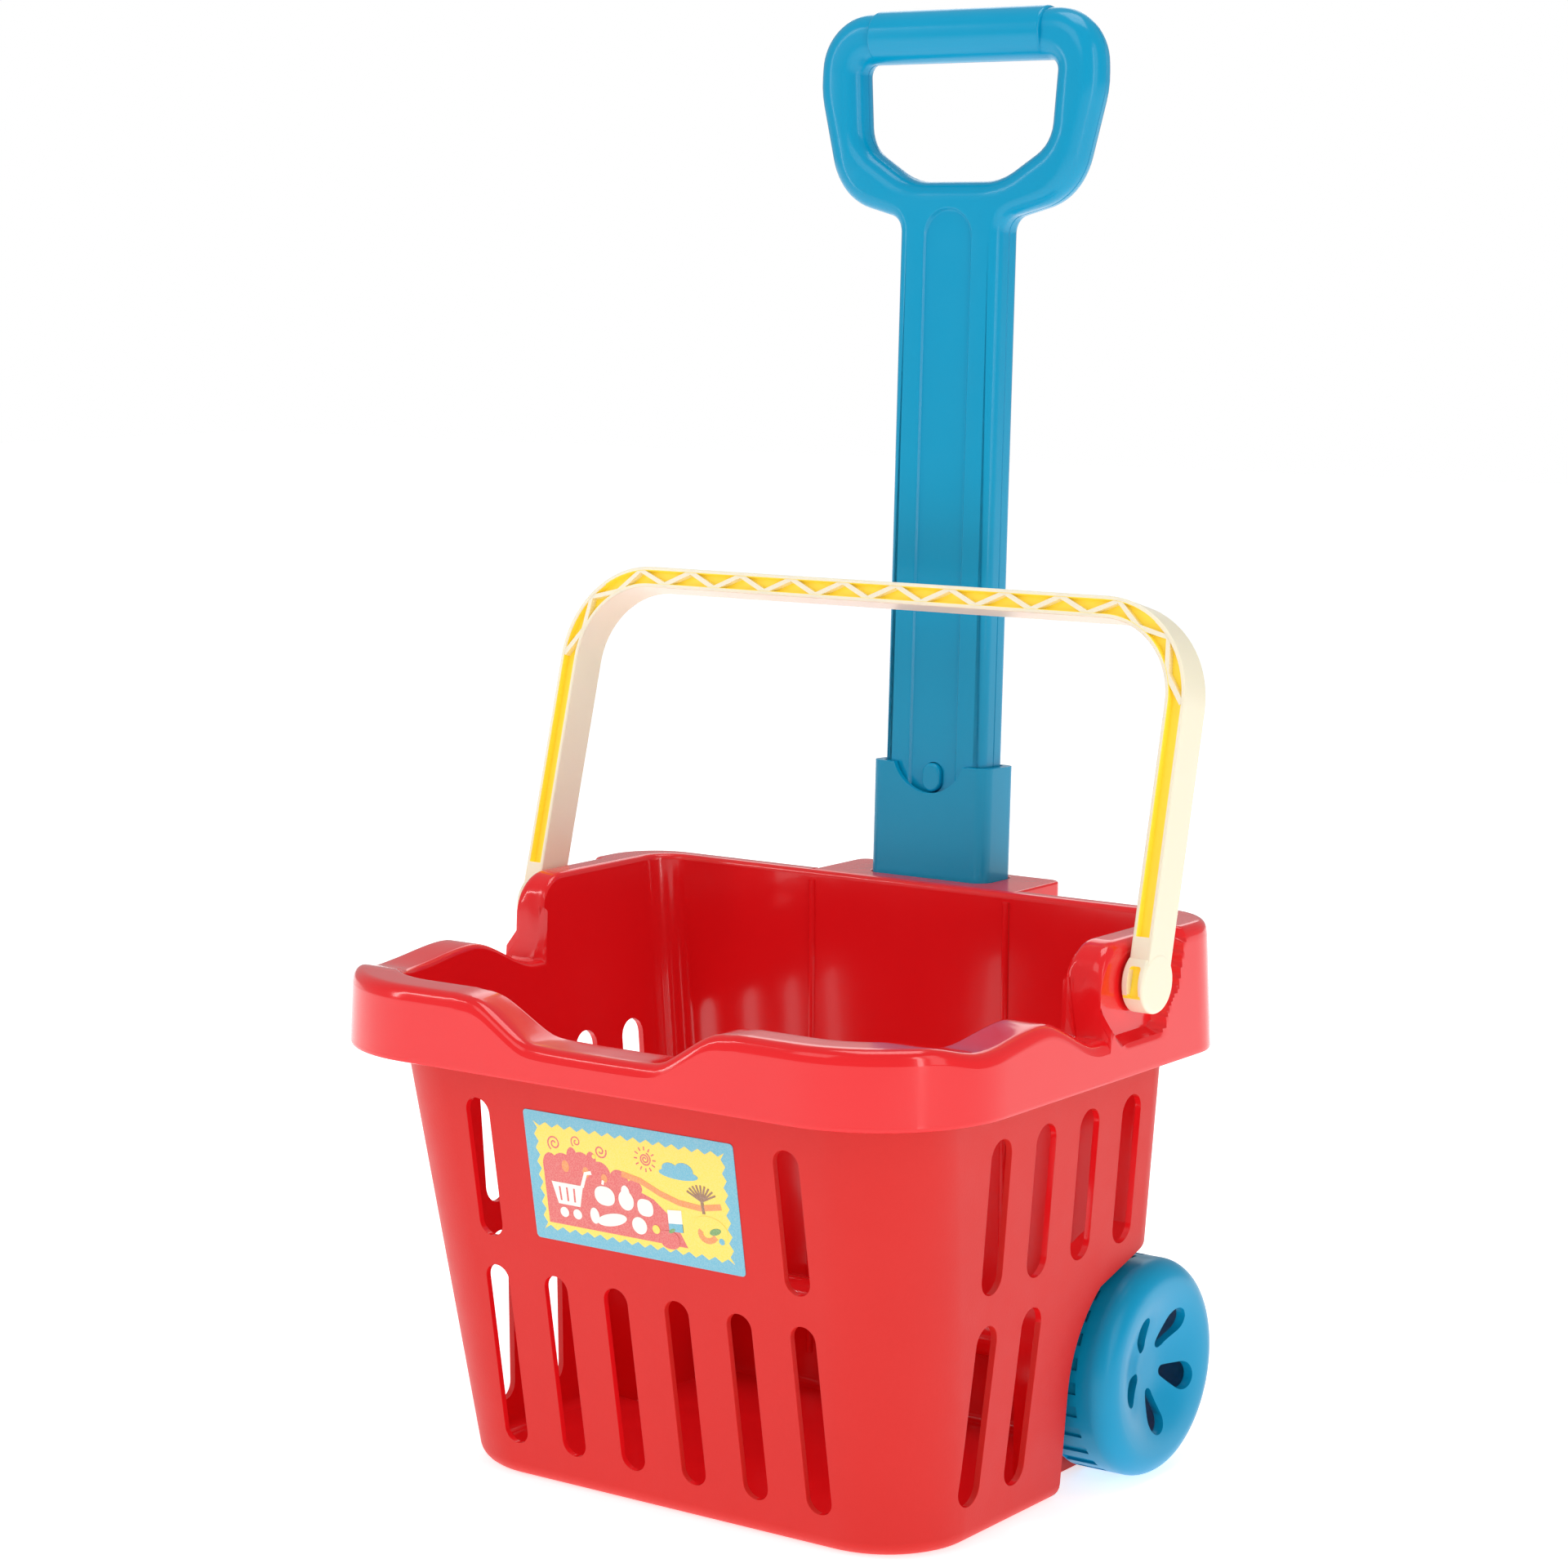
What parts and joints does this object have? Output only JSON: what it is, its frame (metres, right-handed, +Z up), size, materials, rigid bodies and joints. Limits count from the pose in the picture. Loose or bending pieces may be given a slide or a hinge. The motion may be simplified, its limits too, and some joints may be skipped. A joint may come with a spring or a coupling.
{
  "type": "rolling basket trolley",
  "caption": "Small tapered plastic shopping basket on two rear wheels, with a swinging carry bail and a telescopic pull handle with a D grip.",
  "frame": {"origin": "on the floor under the middle of the tub's flat bottom, midway between the wheels", "axes": "+X to the right seen from the front, +Y to the back, where the wheels and handle are, +Z up"},
  "size_m": [0.279, 0.2379, 0.533],
  "materials": {
    "red": "moulded polypropylene, satin walls and glossy rim",
    "blue": "moulded plastic, satin",
    "cream": "moulded plastic, satin",
    "white": "natural nylon",
    "steel": "zinc plated",
    "label": null
  },
  "bodies": {
    "basket": {"basket": "red", "front_label": "label", "handle_housing": "red", "housing_screws": "steel", "handle_sleeve": "blue", "sleeve_screws": "steel", "axle_bush_left": "white", "axle_bush_right": "white"},
    "pull_handle": {"handle_front_shell": "blue", "handle_rear_shell": "blue", "handle_screws": "steel", "tube_shoe": "white", "latch_spring": "steel"},
    "latch": {"latch_button": "blue"},
    "wheelset": {"axle": "steel", "wheel_left": "blue", "wheel_right": "blue", "axle_washer_left": "white", "axle_washer_right": "white"},
    "bail": {"carry_bail": "cream", "bail_clip_left": "white", "bail_clip_right": "white"}
  },
  "joints": [
    {"name": "handle_slide", "type": "slide", "parent": "basket", "child": "pull_handle", "axis": [0, 0.034, 0.9994], "range_m": [-0.19, 0]},
    {"name": "latch_press", "type": "slide", "parent": "pull_handle", "child": "latch", "axis": [0, 0.9994, -0.034], "range_m": [0, 0.0015], "stiffness_N_per_m": 800, "springref_m": -0.001, "deforming": ["latch_spring"]},
    {"name": "wheel_spin", "type": "hinge", "parent": "basket", "child": "wheelset", "pos_m": [0, 0.064, 0.04], "axis": [1, 0, 0], "continuous": true},
    {"name": "bail_swing", "type": "hinge", "parent": "basket", "child": "bail", "pos_m": [0, 0.02, 0.192], "axis": [1, 0, 0], "range_deg": [-12, 98]}
  ]
}
